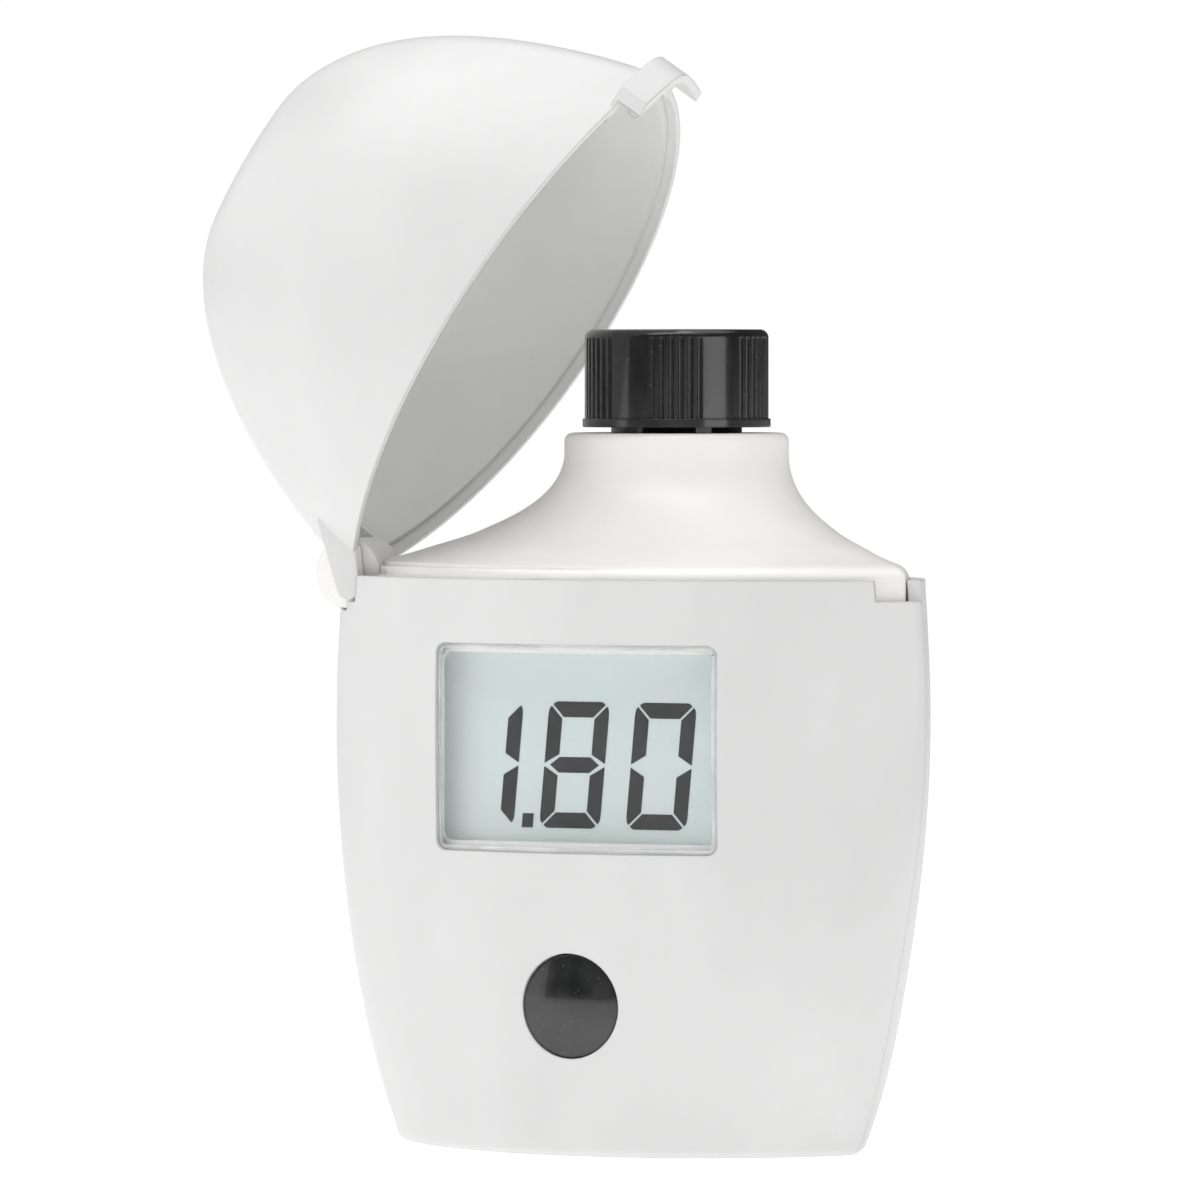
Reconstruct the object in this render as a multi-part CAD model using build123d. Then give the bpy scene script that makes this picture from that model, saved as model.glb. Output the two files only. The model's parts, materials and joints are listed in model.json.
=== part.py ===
from build123d import *
from math import atan2, cos, hypot, pi, sin
import os

# Portable colorimeter with a flip-up lid, standing on its flat base.
# X is to the right, -Y is the front with the display, +Z is up.
# The origin is on the base, on the plane where the front and rear shells meet.
# All sizes are in millimetres.

# Casing
rim_height = 53.6
casing_wall = 1.35
floor_thickness = 1.6
base_edge_radius = 0.8
base_edge_steps = 4
# Height, half width, front depth, back depth and corner radius of each casing section
casing_sections = [
    (0.0, 23.6, 13.0, 18.8, 3.7),
    (12.0, 26.8, 12.9, 22.4, 8.0),
    (25.0, 29.15, 13.6, 23.2, 7.0),
    (39.0, 30.5, 14.3, 23.2, 2.6),
    (47.0, 30.35, 14.2, 23.15, 2.0),
    (rim_height, 29.9, 13.9, 23.15, 1.9),
]

# Case screws: half spacing and height of the lower and the upper pair
case_screw_places = [(24.0, 20.0), (24.0, rim_height - 7.4)]
case_post_radius = 3.0
case_screw_radius = 1.0
case_screw_reach = 4.4
case_hole_spare = 0.4
case_head_radius = 2.0
case_head_height = 1.5
case_head_seat = 5.0
screw_clearance = 0.05
screw_slot_share = 0.18
screw_cross_share = 0.62
screw_cross_depth_share = 0.55

# Display
window_width = 28.9
window_height = 19.4
window_drop = 15.7
window_centre_height = rim_height - window_drop
window_corner_radius = 1.0
window_gap = 0.08
window_recess = 0.12
window_thickness = 1.1
glass_width = 31.0
glass_height = 22.4
glass_thickness = 2.0
glass_front = 9.3
view_width = 29.4
view_height = 17.7
frame_wall = 0.45
frame_gap = 0.1
glass_gap = 0.1
strip_height = 1.6
strip_length = 28.0
strip_inset = 1.0

# Circuit board
board_front = 4.6
board_thickness = 1.4
board_half_width = 20.5
board_bottom = 14.6
board_top = rim_height - 3.7
board_screw_places = [(15.6, 18.4), (18.8, rim_height - 8.6)]
board_boss_radius = 1.7
board_screw_length = 3.4
screw_radius = 0.8
screw_head_radius = 1.5
screw_head_height = 1.0
chip_size = 7.0
chip_thickness = 1.1
chip_height = 38.0
chip_dot_radius = 0.5
chip_dot_depth = 0.15
passive_size = (2.0, 0.6, 1.2)
passive_columns = (-13.0, -9.6)
passive_rows = 5
passive_start = 30.0
passive_pitch = 3.2
crystal_size = (4.6, 1.8, 3.2)
crystal_place = (9.0, 33.0)
amplifier_size = (5.0, 1.4, 4.0)
amplifier_place = (7.5, 40.5)

# Button and its switch
button_height = 14.0
button_radius = 4.8
button_gap = 0.12
button_proud = 0.15
button_dome = 0.55
button_flange_radius = 5.6
button_flange_thickness = 0.6
button_skirt = 1.0
button_stem_radius = 1.9
switch_size = 6.0
switch_depth = 3.5
switch_corner_radius = 0.5
switch_plunger_radius = 1.75
switch_plunger_length = 1.2
switch_plunger_root = 1.6
switch_bore_depth = 2.2
switch_tab_margin = 2.0
switch_tab_drop = 4.6
contact_gap = 0.05

# Cuvette, its cap and the well that holds it
collar_top = rim_height + 13.5
well_y = 10.6
cuvette_radius = 9.5
cuvette_bottom = 17.0
cuvette_floor = 1.4
cuvette_wall = 1.0
cuvette_edge = 0.8
shoulder_start = collar_top - 7.6
shoulder_end = collar_top - 4.1
neck_radius = 6.2
neck_wall = 1.1
neck_top = collar_top + 8.1
well_gap = 0.22
well_wall = 0.83
well_floor = 1.0
well_foot_gap = 0.3
well_top = rim_height - 3.6
cap_bottom = collar_top + 0.55
cap_top = collar_top + 9.8
cap_radius = 8.72
cap_flange_radius = 8.92
cap_flange_height = 0.8
cap_bore = 7.45
cap_top_thickness = 1.0
cap_edge_radius = 0.8
cap_rib_groups = 6
cap_grooves_per_group = 6
cap_groove_pitch = 6.0
cap_groove_depth = 0.3
cap_groove_radius = 0.27
cap_first_group = -65.5
liner_thickness = 0.6
liner_radius = 7.0
liner_gap = 0.05

# Optics
light_path_height = 28.0
lamp_radius = 2.5
lamp_length = 8.6
lamp_flange_radius = 2.9
lamp_flange_thickness = 1.0
lamp_port_radius = 2.0
filter_radius = 4.0
filter_thickness = 2.4
detector_length = 3.2
detector_port_radius = 2.5
optic_tube_wall = 0.9
optic_gap = 0.08
port_seat = 0.9
lead_radius = 0.25
lead_spacing = 2.54
lead_bend = 1.0
foot_x = 7.6
foot_width = 4.2
foot_height = 21.0
foot_tall = 5.6
foot_screw_length = 4.2
screw_hole_reach = 2.0

# Top insert: shoulder, collar, skirt, lugs and hinge barrel
collar_radius = 10.65
flare_circle = 10.57
collar_edge_radius = 0.8
collar_bore = 9.75
flare_start = collar_top - 0.7
flare_end = rim_height + 0.9
flare_power = 2.7
flare_steps = (0.0, 0.15, 0.3, 0.45, 0.58, 0.7, 0.8, 0.88, 0.94, 0.98)
insert_edge_drop = 0.65
insert_gap = 0.15
insert_wall = 1.2
insert_skirt_bottom = rim_height - 3.4
lug_thickness = 1.8
lug_gap = 0.1
lug_reach = 2.8

# Hinge: the pin sits low in a barrel that stands proud of the casing's left end
barrel_x = -28.4
barrel_z = rim_height + 0.2
pivot_x = -27.7
pivot_z = rim_height - 1.1
barrel_radius = 3.35
barrel_half_length = 2.3
barrel_gap = 0.22
ear_radius = 1.2
ear_thickness = 1.2
ear_gap = 0.2
ear_lean = 3.6
ear_height = 6.0
ear_foot = 3.4
ear_foot_height = 1.6
ear_tip_radius = 0.2
pin_radius = 0.6
pin_gap = 0.03
pin_seat = 0.65

# Lid, drawn closed and then opened about the hinge
lid_open_angle = 56.4
lid_gap = 0.25
lid_rise = 32.15
lid_wall = 1.2
lid_left = 27.5
lid_right = 29.4
lid_front = 13.4
lid_back = 23.1
lid_corner = 2.4
lid_corner_growth = 1.9
lid_corner_limit = 0.75
lid_crest_shift = 1.9
lid_levels = (0.0, 0.12, 0.27, 0.45, 0.62, 0.76, 0.87, 0.945, 0.985, 0.9985)
# Two powers for each side of the dome: how late it curves in, and how round its top is
left_powers = (1.28, 2.93)
right_powers = (1.11, 2.58)
front_powers = (3.05, 1.77)
back_powers = (4.0, 2.0)
rabbet_depth = 0.6
rabbet_height = 1.0
lid_clearance = 0.3

# Latch lip of the lid and the notch that it drops into
lip_gap = 0.25
lip_thickness = 0.9
lip_drop = 2.7
lip_rise = 0.45
lip_front_reach = 4.6
lip_back_reach = 5.6
lip_start_x = 23.5
notch_depth = 1.95
notch_width = 3.7
notch_start_x = 24.0
hook_front = 3.4
hook_back = 0.5
hook_reach = 1.1
hook_bottom = rim_height - 1.75
hook_top = rim_height - 0.7

# Battery bay
battery_radius = 5.25
battery_length = 44.5
battery_y = 2.35
battery_z = 8.8
battery_left = -21.75
battery_edge = 0.5
nub_radius = 1.9
nub_length = 0.9
battery_gap = 0.25
contact_thickness = 0.3
contact_front = -0.8
contact_back = 2.4
contact_bottom = 6.2
contact_top = 16.3
strap_height = 1.1
strap_x = 19.0
leaf_reach = 0.85
leaf_bottom = 6.6
leaf_top = 11.0
rib_thickness = 1.2
rib_x = 12.0
rib_top = 13.0
cover_rib_x = 16.0
cover_half_width = 22.9
cover_bottom = 2.6
cover_top = 15.4
cover_gap = 0.15
cover_corner_radius = 1.6
cover_rib_front = 6.0
cover_rib_inset = 0.6
grip_radius = 1.6
grip_length = 12.0
grip_depth = 0.7
grip_height = 12.0

board_back = board_front - board_thickness
well_bore = cuvette_radius + well_gap
well_outer = well_bore + well_wall
well_bottom = cuvette_bottom - well_foot_gap - well_floor
cap_underside = cap_top - cap_top_thickness
ear_inner = barrel_half_length + ear_gap
ear_outer = ear_inner + ear_thickness
mouth_height = rim_height + lid_gap
insert_inset = casing_wall + insert_gap
flare_foot = flare_end - insert_edge_drop
battery_right = battery_left + battery_length
window_low = window_centre_height - window_height / 2
window_high = window_centre_height + window_height / 2
glass_low = window_centre_height - glass_height / 2
glass_high = window_centre_height + glass_height / 2
far = 100.0


def block(low, high):
    """A box between two opposite corners."""
    size = [b - a for a, b in zip(low, high)]
    centre = [(a + b) / 2 for a, b in zip(low, high)]
    return Pos(*centre) * Box(*size)


def rod(radius, x, y, z, length, axis):
    """A solid cylinder from its start point along the axis named x, y or z."""
    directions = {"x": (1, 0, 0), "y": (0, 1, 0), "z": (0, 0, 1)}
    sides = {"x": (0, 1, 0), "y": (1, 0, 0), "z": (1, 0, 0)}
    plane = Plane(origin=(x, y, z), x_dir=sides[axis], z_dir=directions[axis])
    return plane * Cylinder(radius, length, align=(Align.CENTER, Align.CENTER, Align.MIN))


def turned(profile, x, y):
    """A solid of revolution about a vertical line, from radius and height pairs."""
    points = [(x + radius, y, z) for radius, z in profile]
    return revolve(make_face(Polyline(*points, close=True)), Axis((x, y, 0), (0, 0, 1)))


def group(parts):
    """Separate solids that share one node."""
    return Compound(children=[solid for part in parts for solid in part.solids()])


def slab(half_x, low_z, high_z, radius, front, back):
    """A rounded rectangle in X and Z, extruded from front to back along Y."""
    plane = Plane(origin=(0, back, (low_z + high_z) / 2), x_dir=(1, 0, 0), z_dir=(0, -1, 0))
    return extrude(plane * RectangleRounded(2 * half_x, high_z - low_z, radius), back - front)


# Outlines

def lens_arcs(half, front, back, corner):
    """The centre, radius and end angles of the four tangent arcs of a rounded lens."""
    reach = half - corner
    front_rise = front - corner
    back_rise = back - corner
    front_offset = (reach ** 2 - front_rise ** 2) / (2 * front_rise)
    back_offset = (reach ** 2 - back_rise ** 2) / (2 * back_rise)
    front_angle = atan2(reach, front_offset)
    back_angle = atan2(reach, back_offset)
    return [
        (0, front_offset, front + front_offset, -pi / 2 - front_angle, -pi / 2 + front_angle),
        (reach, 0, corner, -pi / 2 + front_angle, pi / 2 - back_angle),
        (0, -back_offset, back + back_offset, pi / 2 - back_angle, pi / 2 + back_angle),
        (-reach, 0, corner, pi / 2 + back_angle, 3 * pi / 2 - front_angle),
    ]


def arc_wire(arcs, z, inset=0.0, shift_x=0.0, shift_y=0.0):
    """A closed wire of arcs at height z, moved inwards by inset."""
    edges = []
    for x, y, radius, first, last in arcs:
        angles = (first, (first + last) / 2, last)
        points = [(x + shift_x + (radius - inset) * cos(angle),
                   y + shift_y + (radius - inset) * sin(angle), z) for angle in angles]
        edges.append(ThreePointArc(*points))
    return Wire(edges)


def casing_wire(section, inset):
    """The casing's outline at one of its sections, moved inwards by inset."""
    return arc_wire(lens_arcs(*section[1:]), section[0], inset)


def casing_solid(inset):
    """The filled casing, with every wall moved inwards by inset."""
    return Solid.make_loft([casing_wire(section, inset) for section in casing_sections])


def rim_prism(inset, bottom, top):
    """An upright solid whose outline follows the casing's rim."""
    arcs = lens_arcs(*casing_sections[-1][1:])
    return extrude(Face(arc_wire(arcs, bottom, inset)), top - bottom, dir=(0, 0, 1))


def casing_front(height):
    """How far the casing's front stands forward at a height."""
    for low, high in zip(casing_sections, casing_sections[1:]):
        if height <= high[0]:
            share = (height - low[0]) / (high[0] - low[0])
            return low[2] + share * (high[2] - low[2])
    return casing_sections[-1][2]


front_half = block((-far, -far, -far), (far, 0, far))
rear_half = block((-far, 0, -far), (far, far, far))
inside = casing_solid(casing_wall / 2)
cavity = casing_solid(casing_wall) & block((-far, -far, floor_thickness), (far, far, far))


# Room that the shells leave for other pieces

def ear_room(front, back):
    """The room that the lid's ears turn in, between two distances along the hinge."""
    low = (-far, front, pivot_z - ear_radius - ear_gap)
    return block(low, (pivot_x + ear_foot + 2 * ear_gap, back, far))


def hinge_room():
    """The room that the shells leave for the hinge barrel and the lid's ears."""
    half = barrel_half_length + barrel_gap
    reach = ear_outer + ear_gap
    return rod(barrel_radius + barrel_gap, barrel_x, -half, barrel_z, 2 * half, "y") + ear_room(-reach, reach)


def battery_room():
    """The room that the battery needs."""
    length = battery_length - nub_length + 2 * battery_gap
    start = battery_left - battery_gap
    return rod(battery_radius + battery_gap, start, battery_y, battery_z, length, "x")


def cover_prism(gap):
    """The battery opening as a prism through the back wall."""
    radius = cover_corner_radius - gap
    return slab(cover_half_width - gap, cover_bottom + gap, cover_top - gap, radius, battery_y, far)


def window_prism(gap):
    """The display opening as a prism through the front wall."""
    radius = window_corner_radius - gap
    return slab(window_width / 2 - gap, window_low + gap, window_high - gap, radius, -far, -glass_front)


def case_screw_spots():
    return [(side * x, z) for x, z in case_screw_places for side in (-1, 1)]


def board_screw_spots():
    return [(side * x, z) for x, z in board_screw_places for side in (-1, 1)]


def foot_screw_spots():
    return [(side * foot_x, foot_height) for side in (-1, 1)]


def bay_rib(side, x, front, back, top):
    """An upright rib that cradles the battery."""
    low = (side * x - rib_thickness / 2, front, floor_thickness / 2)
    return block(low, (side * x + rib_thickness / 2, back, top))


# Shells

def make_walls():
    foot, above = casing_sections[:2]
    foot_wires = []
    for step in range(base_edge_steps + 1):
        angle = step / base_edge_steps * pi / 2
        z = base_edge_radius * (1 - cos(angle))
        section = [z] + [a + z / above[0] * (b - a) for a, b in zip(foot[1:], above[1:])]
        foot_wires.append(casing_wire(section, base_edge_radius * (1 - sin(angle))))
    wires = foot_wires[-1:] + [casing_wire(section, 0) for section in casing_sections[1:]]
    return Solid.make_loft(foot_wires) + Solid.make_loft(wires) - cavity


def make_front_shell(walls):
    shell = walls & front_half
    for x, z in case_screw_spots():
        hole_end = case_screw_reach + case_hole_spare
        shell += rod(case_post_radius, x, -far, z, far, "y") & inside
        shell -= rod(case_screw_radius + screw_clearance, x, -hole_end, z, far, "y")
    for x, z in board_screw_spots():
        hole_end = board_back + board_screw_length + case_hole_spare
        shell += rod(board_boss_radius, x, -far, z, far - board_front, "y") & inside
        shell -= rod(screw_radius + screw_clearance, x, -hole_end, z, hole_end, "y")
    for side in (-1, 1):
        shell += bay_rib(side, rib_x, -far, 0, rib_top) & inside
    shell -= window_prism(0)
    button_bore = button_radius + button_gap
    shell -= rod(button_bore, 0, -far, button_height, far - board_front, "y")
    shell -= block((notch_start_x, -notch_width, rim_height - notch_depth), (far, 0, far))
    return shell - hinge_room() - battery_room()


def make_rear_shell(walls):
    shell = walls & rear_half
    shell -= cover_prism(0)
    for x, z in case_screw_spots():
        clamps_lug = z > window_centre_height
        start = lug_thickness + 2 * lug_gap if clamps_lug else 0
        shell += rod(case_post_radius, x, start, z, far, "y") & inside
        shell -= rod(case_screw_radius + screw_clearance, x, -1, z, far, "y")
        shell -= rod(case_head_radius + screw_clearance, x, case_head_seat, z, far, "y")
    for side in (-1, 1):
        shell += bay_rib(side, rib_x, 0, battery_y, cover_bottom + battery_radius) & inside
    return shell - hinge_room() - battery_room()


def cross_screw(radius, head_radius, head_height, x, z, tip, seat):
    """A screw along Y with its tip and head seat at given places, and a cross in its head."""
    outwards = 1 if seat > tip else -1
    face = seat + outwards * head_height
    floor = face - outwards * head_height * screw_cross_depth_share
    shank = rod(radius, x, min(tip, seat), z, abs(seat - tip), "y")
    head = rod(head_radius, x, min(seat, face), z, head_height, "y")
    arm = head_radius * screw_cross_share
    slot = head_radius * screw_slot_share
    low, high = min(floor, face), max(floor, face)
    cross = block((x - arm, low, z - slot), (x + arm, high, z + slot))
    cross += block((x - slot, low, z - arm), (x + slot, high, z + arm))
    return shank + head - cross


def make_case_screws():
    return group([cross_screw(case_screw_radius, case_head_radius, case_head_height, x, z,
                              -case_screw_reach, case_head_seat) for x, z in case_screw_spots()])


# Display

def make_window():
    skin = casing_solid(window_recess) - casing_solid(window_recess + window_thickness)
    return skin & window_prism(window_gap)


def make_display_frame():
    half = glass_width / 2 + glass_gap
    outer_half = half + frame_wall
    margin = glass_gap + frame_wall
    room = block((-outer_half, -far, glass_low - margin), (outer_half, -board_front, glass_high + margin))
    pocket = block((-half, -glass_front, glass_low - glass_gap), (half, 0, glass_high + glass_gap))
    low = window_centre_height - view_height / 2
    high = window_centre_height + view_height / 2
    view = slab(view_width / 2, low, high, window_corner_radius, -far, 0)
    return (casing_solid(casing_wall + frame_gap) & room) - pocket - view


def make_display_glass():
    half = glass_width / 2
    return block((-half, -glass_front, glass_low), (half, glass_thickness - glass_front, glass_high))


def make_display_strips():
    back = glass_thickness - glass_front
    strips = []
    for low in (glass_low + strip_inset, glass_high - strip_inset - strip_height):
        corner = (-strip_length / 2, back, low)
        strips.append(block(corner, (strip_length / 2, -board_front, low + strip_height)))
    return group(strips)


# Circuit board and its switch

def make_board():
    board = block((-board_half_width, -board_front, board_bottom), (board_half_width, -board_back, board_top))
    tab_half = switch_size / 2 + switch_tab_margin
    tab_low = (-tab_half, -board_front, button_height - switch_tab_drop)
    board += block(tab_low, (tab_half, -board_back, board_bottom))
    for x, z in board_screw_spots() + foot_screw_spots():
        board -= rod(screw_radius + screw_clearance, x, -far, z, far, "y")
    return board


def make_board_screws():
    tip = -board_back - board_screw_length
    return group([cross_screw(screw_radius, screw_head_radius, screw_head_height, x, z, tip, -board_back)
                  for x, z in board_screw_spots()])


def make_holder_screws():
    tip = foot_screw_length - board_front
    return group([cross_screw(screw_radius, screw_head_radius, screw_head_height, x, z, tip, -board_front)
                  for x, z in foot_screw_spots()])


def make_chip():
    half = chip_size / 2
    face = chip_thickness - board_back
    chip = block((-half, -board_back, chip_height - half), (half, face, chip_height + half))
    dot = half - 2 * chip_dot_radius
    return chip - rod(chip_dot_radius, -dot, face - chip_dot_depth, chip_height + dot, 1, "y")


def on_board(x, z, size):
    """A component's body, standing on the back of the board."""
    return block((x, -board_back, z), (x + size[0], size[1] - board_back, z + size[2]))


def make_board_parts():
    crystal = on_board(*crystal_place, crystal_size)
    crystal = fillet(crystal.edges().filter_by(Axis.Y), crystal_size[2] * 0.4)
    parts = [crystal, on_board(*amplifier_place, amplifier_size)]
    for x in passive_columns:
        for row in range(passive_rows):
            parts.append(on_board(x, passive_start + row * passive_pitch, passive_size))
    return group(parts)


def make_key_switch():
    half = switch_size / 2
    face = -board_front - switch_depth
    body = block((-half, face, button_height - half), (half, -board_front, button_height + half))
    body = fillet(body.edges().filter_by(Axis.Y), switch_corner_radius)
    bore = switch_plunger_radius + contact_gap
    return body - rod(bore, 0, face, button_height, switch_bore_depth, "y")


def make_switch_plunger():
    face = -board_front - switch_depth
    length = switch_plunger_length + switch_plunger_root
    return rod(switch_plunger_radius, 0, face - switch_plunger_length, button_height, length, "y")


def make_push_button():
    tip = -casing_front(button_height) - button_proud
    stem_end = -board_front - switch_depth - switch_plunger_length - contact_gap
    flange_back = stem_end - button_skirt
    dome_radius = (button_radius ** 2 + button_dome ** 2) / (2 * button_dome)
    dome = Pos(0, tip + dome_radius, button_height) * Sphere(dome_radius)
    body = rod(button_radius, 0, tip, button_height, flange_back - tip, "y") & dome
    flange_front = flange_back - button_flange_thickness
    flange = rod(button_flange_radius, 0, flange_front, button_height, button_flange_thickness, "y")
    return body + flange + rod(button_stem_radius, 0, flange_back, button_height, button_skirt, "y")


# Top insert

def flare_solid(rim_inset, collar, drop, bottom):
    """The shoulder: from the rim's outline at its foot to a circle at the collar."""
    arcs = lens_arcs(*casing_sections[-1][1:])
    wires = []
    for step in flare_steps:
        share = step ** flare_power
        z = flare_start - drop - step * (flare_start - flare_end)
        blended = []
        for x, y, radius, first, last in arcs:
            blend_y = well_y + share * (y - well_y)
            blend_radius = collar + share * (radius - rim_inset - collar)
            blended.append((share * x, blend_y, blend_radius, first, last))
        wires.append(arc_wire(blended, z))
    wires.append(arc_wire(arcs, flare_foot - drop, rim_inset))
    return Solid.make_loft(wires[::-1]) + rim_prism(rim_inset, bottom, flare_foot - drop)


def make_top_insert():
    insert = flare_solid(insert_inset, flare_circle, 0, insert_skirt_bottom)
    hollow_circle = flare_circle - insert_gap
    insert -= flare_solid(insert_inset + insert_wall, hollow_circle, insert_wall, insert_skirt_bottom - 1)
    tube_bottom = well_top + lug_gap
    collar = rod(collar_radius, 0, well_y, tube_bottom, collar_top - tube_bottom, "z")
    top_edge = collar.edges().sort_by(Axis.Z)[-1]
    insert += fillet(top_edge, collar_edge_radius)
    for side in (-1, 1):
        for x, z in case_screw_places[1:]:
            near = side * (x - lug_reach)
            low = (min(near, side * far), lug_gap, z - lug_reach)
            high = (max(near, side * far), lug_gap + lug_thickness, insert_skirt_bottom + insert_wall)
            insert += block(low, high) & rim_prism(insert_inset + insert_gap, 0, rim_height)
            insert -= rod(case_screw_radius + screw_clearance, side * x, -1, z, far, "y")
    lid_room = extrude(Face(dome_wire(0, rabbet_depth + lid_clearance)), far, dir=(0, 0, 1))
    insert &= Pos(0, 0, -lid_gap) * lid_room + block((-far, -far, 0), (far, far, mouth_height - lid_gap / 2))
    wall_height = mouth_height + rabbet_height - lid_clearance
    wall_room = extrude(Face(dome_wire(0, lid_wall + lid_clearance)), far, dir=(0, 0, 1))
    insert &= wall_room + block((-far, -far, 0), (far, far, wall_height))
    insert += rod(barrel_radius, barrel_x, -barrel_half_length, barrel_z, 2 * barrel_half_length, "y")
    insert -= rod(pin_radius + pin_gap, pivot_x, -far, pivot_z, 2 * far, "y")
    ear_end = ear_outer + ear_gap
    insert -= ear_room(-ear_end, -barrel_half_length)
    insert -= ear_room(barrel_half_length, ear_end)
    return insert - rod(collar_bore, 0, well_y, 0, far, "z")


def make_hinge_pin():
    half = ear_inner + pin_seat
    return rod(pin_radius, pivot_x, -half, pivot_z, 2 * half, "y")


# Lid

def dome_size(size, powers, level):
    """A size of the dome at a level from 0 at its mouth to 1 at its top."""
    late, round_top = powers
    return size * (1 - level ** late) ** (1 / round_top)


def dome_wire(level, inset):
    """The dome's outline at a level, with its walls moved inwards by inset."""
    left = dome_size(lid_left - inset, left_powers, level)
    right = dome_size(lid_right - inset, right_powers, level)
    front = dome_size(lid_front - inset, front_powers, level)
    back = dome_size(lid_back - inset, back_powers, level)
    corner = lid_corner + lid_corner_growth * level - inset
    corner = min(corner, lid_corner_limit * min(left, right, front, back))
    z = mouth_height + level * (lid_rise - inset)
    crest = lid_crest_shift * level ** 2
    arcs = lens_arcs((left + right) / 2, front, back, corner)
    return arc_wire(arcs, z, 0, (right - left) / 2, crest)


def dome_solid(inset):
    return Solid.make_loft([dome_wire(level, inset) for level in lid_levels])


def make_ear(side):
    """An ear that carries the lid on the hinge pin."""
    inner = side * ear_inner
    outer = side * ear_outer
    plane = Plane(origin=(pivot_x, max(inner, outer), pivot_z), x_dir=(1, 0, 0), z_dir=(0, -1, 0))
    round_end = Circle(ear_radius)
    tip = Pos(ear_lean, ear_height) * Circle(ear_tip_radius)
    foot = Pos(ear_foot, ear_foot_height) * Circle(ear_tip_radius)
    outline = make_hull(round_end.edges() + tip.edges() + foot.edges())
    return extrude(plane * outline, ear_thickness)


def make_latch_lip():
    """The lip at the lid's free end, with the hook that drops into the notch."""
    reach = block((lip_start_x, -lip_front_reach, 0), (far, lip_back_reach, far))
    bottom = mouth_height - lip_drop
    top = mouth_height + lip_rise
    band = rim_prism(-lip_gap - lip_thickness, bottom, top)
    band -= rim_prism(-lip_gap, bottom, mouth_height)
    band -= rim_prism(lid_wall, mouth_height, top)
    hook = rim_prism(-lip_gap - lip_thickness / 2, hook_bottom, hook_top)
    hook -= rim_prism(hook_reach, hook_bottom, hook_top)
    hook &= block((lip_start_x, -hook_front, 0), (far, -hook_back, far))
    return (band & reach) + hook


def make_lid():
    lid = dome_solid(0) - dome_solid(lid_wall)
    rabbet = extrude(Face(dome_wire(0, rabbet_depth)), rabbet_height, dir=(0, 0, 1))
    lid -= rabbet
    lid += make_latch_lip()
    slot_radius = hypot(pivot_x - barrel_x, pivot_z - barrel_z) + barrel_radius + barrel_gap
    lid -= rod(slot_radius, pivot_x, -ear_inner, pivot_z, 2 * ear_inner, "y")
    lid += make_ear(-1)
    lid += make_ear(1)
    pin_half = ear_inner + pin_seat + pin_gap
    lid -= rod(pin_radius + pin_gap, pivot_x, -pin_half, pivot_z, 2 * pin_half, "y")
    return lid.rotate(Axis((pivot_x, 0, pivot_z), (0, -1, 0)), lid_open_angle)


# Cuvette and cap

def make_cuvette():
    inner_radius = cuvette_radius - cuvette_wall
    inner_neck = neck_radius - neck_wall
    outside = turned([
        (0, cuvette_bottom), (cuvette_radius - cuvette_edge, cuvette_bottom),
        (cuvette_radius, cuvette_bottom + cuvette_edge), (cuvette_radius, shoulder_start),
        (neck_radius, shoulder_end), (neck_radius, neck_top), (0, neck_top),
    ], 0, well_y)
    floor = cuvette_bottom + cuvette_floor
    hollow = turned([
        (0, floor), (inner_radius - cuvette_edge, floor), (inner_radius, floor + cuvette_edge),
        (inner_radius, shoulder_start - cuvette_wall), (inner_neck, shoulder_end - cuvette_wall),
        (inner_neck, neck_top), (0, neck_top),
    ], 0, well_y)
    return outside - hollow


def make_liner():
    top = cap_underside - liner_gap
    return rod(liner_radius, 0, well_y, top - liner_thickness, liner_thickness, "z")


def make_cap():
    cap = rod(cap_radius, 0, well_y, cap_bottom, cap_top - cap_bottom, "z")
    cap = fillet(cap.edges().sort_by(Axis.Z)[-1], cap_edge_radius)
    cap += rod(cap_flange_radius, 0, well_y, cap_bottom, cap_flange_height, "z")
    cap -= rod(cap_bore, 0, well_y, cap_bottom, cap_underside - cap_bottom, "z")
    groove_low = cap_bottom + cap_flange_height
    groove_length = cap_top - cap_edge_radius - groove_low
    groove_circle = cap_radius + cap_groove_radius - cap_groove_depth
    grooves = []
    for rib_group in range(cap_rib_groups):
        middle = cap_first_group + rib_group * 360 / cap_rib_groups
        for step in range(cap_grooves_per_group):
            angle = (middle + (step - (cap_grooves_per_group - 1) / 2) * cap_groove_pitch) * pi / 180
            x = groove_circle * cos(angle)
            y = well_y + groove_circle * sin(angle)
            grooves.append(rod(cap_groove_radius, x, y, groove_low, groove_length, "z"))
    return cap - grooves


# Cuvette holder and optics

filter_start = well_bore + port_seat
detector_start = filter_start + filter_thickness
detector_end = detector_start + detector_length
lamp_start = well_bore + port_seat
lamp_end = lamp_start + lamp_length


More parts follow.
